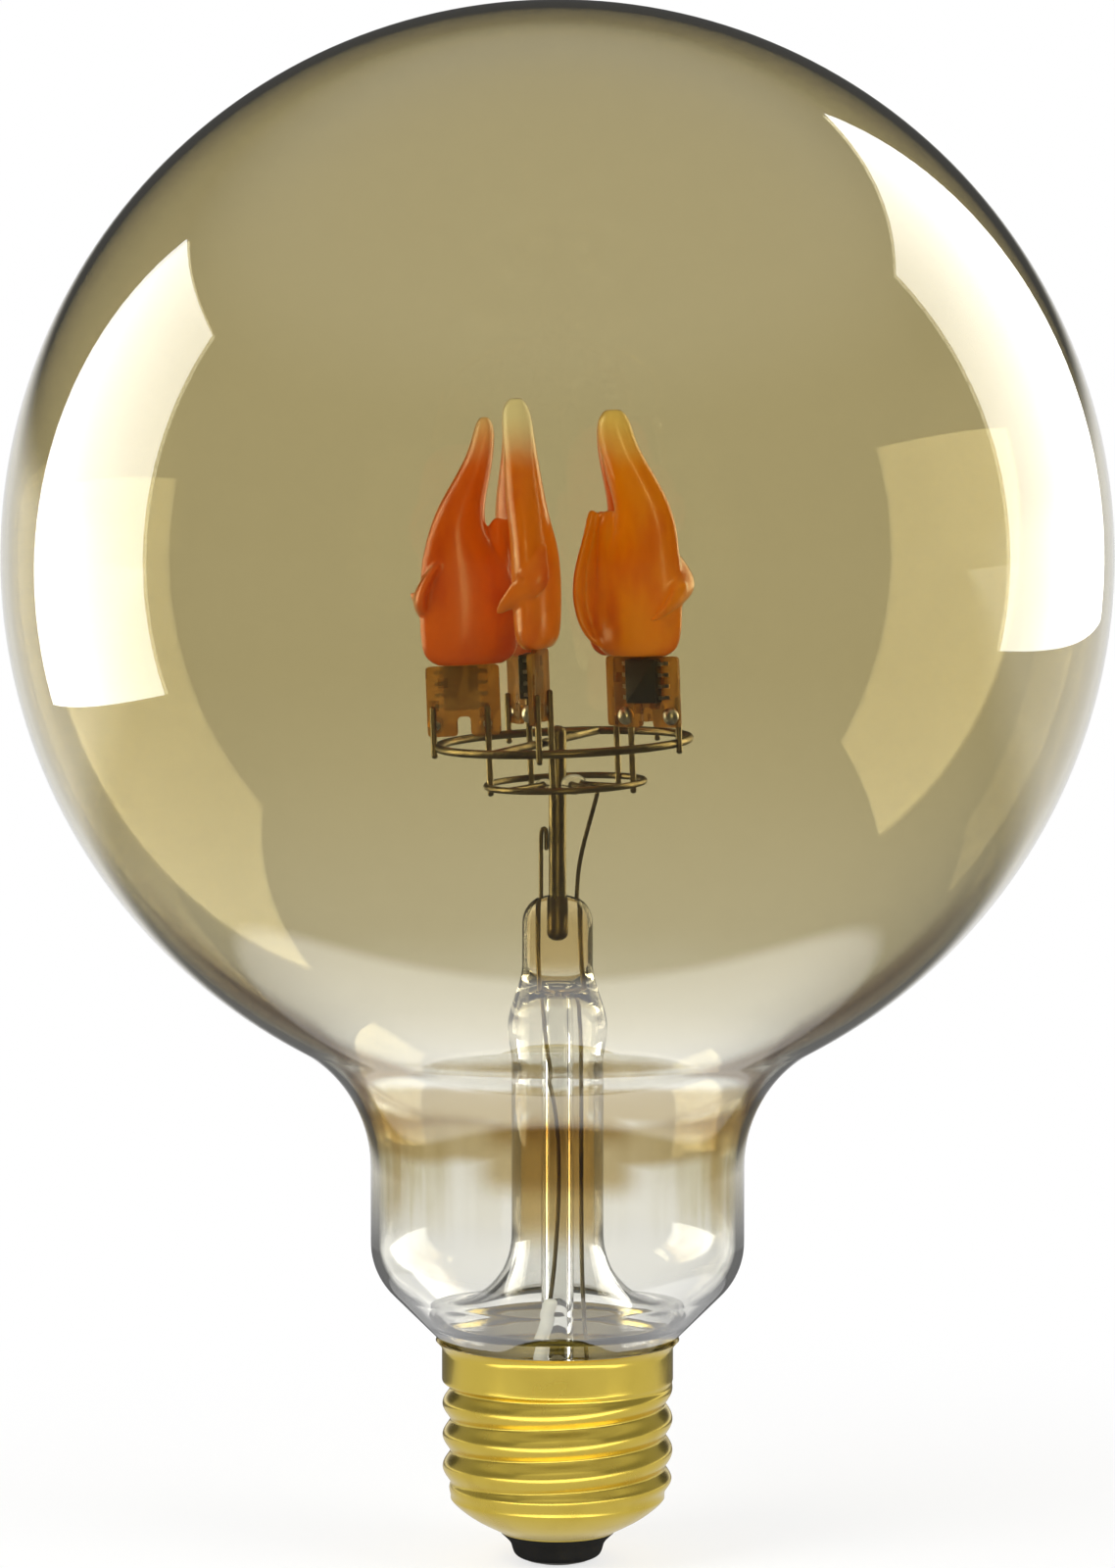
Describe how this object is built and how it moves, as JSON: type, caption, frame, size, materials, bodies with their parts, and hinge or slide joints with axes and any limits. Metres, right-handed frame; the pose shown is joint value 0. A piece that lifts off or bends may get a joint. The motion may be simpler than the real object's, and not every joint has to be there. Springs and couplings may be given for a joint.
{
  "type": "flame effect led bulb",
  "caption": "Round tinted glass bulb on a screw cap, with moulded flame pieces on wire rings held by a glass stem.",
  "frame": {"origin": "bottom of the centre contact, on the axis of the cap", "axes": "+Z along the cap's axis from the cap to the top of the globe; the picture looks along +Y with +X to the right"},
  "size_m": [0.125, 0.125, 0.177],
  "materials": {
    "amber_glass": "gloss",
    "clear_glass": "gloss",
    "brass_shell": "gloss",
    "black_insulator": "gloss",
    "contact_metal": "satin",
    "cement": "matte",
    "driver_laminate": "matte",
    "black_mould": "matte",
    "nickel_wire": "satin",
    "white_sleeve": "matte",
    "board_laminate": "gloss",
    "flame_silicone": "gloss",
    "led_die": "gloss",
    "tinned_metal": "gloss"
  },
  "bodies": {
    "root": {"board_1": "board_laminate", "board_2": "board_laminate", "board_3": "board_laminate", "board_4": "board_laminate", "board_5": "board_laminate", "bridge_rectifier": "black_mould", "cap_cement": "cement", "cap_insulator": "black_insulator", "centre_contact": "contact_metal", "centre_post": "nickel_wire", "chip_1": "black_mould", "chip_2": "black_mould", "chip_3": "black_mould", "chip_4": "black_mould", "chip_5": "black_mould", "chip_legs_1": "tinned_metal", "chip_legs_2": "tinned_metal", "chip_legs_3": "tinned_metal", "chip_legs_4": "tinned_metal", "chip_legs_5": "tinned_metal", "driver_board": "driver_laminate", "exhaust_tube": "clear_glass", "flame_1": "flame_silicone", "flame_2": "flame_silicone", "flame_3": "flame_silicone", "flame_4": "flame_silicone", "flame_5": "flame_silicone", "glass_bead_left": "clear_glass", "glass_bead_right": "clear_glass", "glass_globe": "amber_glass", "inner_pin_1": "nickel_wire", "inner_pin_2": "nickel_wire", "inner_pin_3": "nickel_wire", "inner_pin_4": "nickel_wire", "inner_pin_5": "nickel_wire", "lead_sleeve": "white_sleeve", "lead_wire_left": "nickel_wire", "lead_wire_right": "nickel_wire", "led_dies_1": "led_die", "led_dies_2": "led_die", "led_dies_3": "led_die", "led_dies_4": "led_die", "led_dies_5": "led_die", "lower_ring": "nickel_wire", "lower_ring_spokes": "nickel_wire", "outer_pin_1": "nickel_wire", "outer_pin_2": "nickel_wire", "outer_pin_3": "nickel_wire", "outer_pin_4": "nickel_wire", "outer_pin_5": "nickel_wire", "screw_shell": "brass_shell", "smoothing_capacitor": "black_mould", "solder_1": "tinned_metal", "solder_2": "tinned_metal", "solder_3": "tinned_metal", "solder_4": "tinned_metal", "solder_5": "tinned_metal", "stem_glass": "clear_glass", "upper_ring": "nickel_wire", "upper_ring_bar": "nickel_wire"}
  },
  "joints": []
}
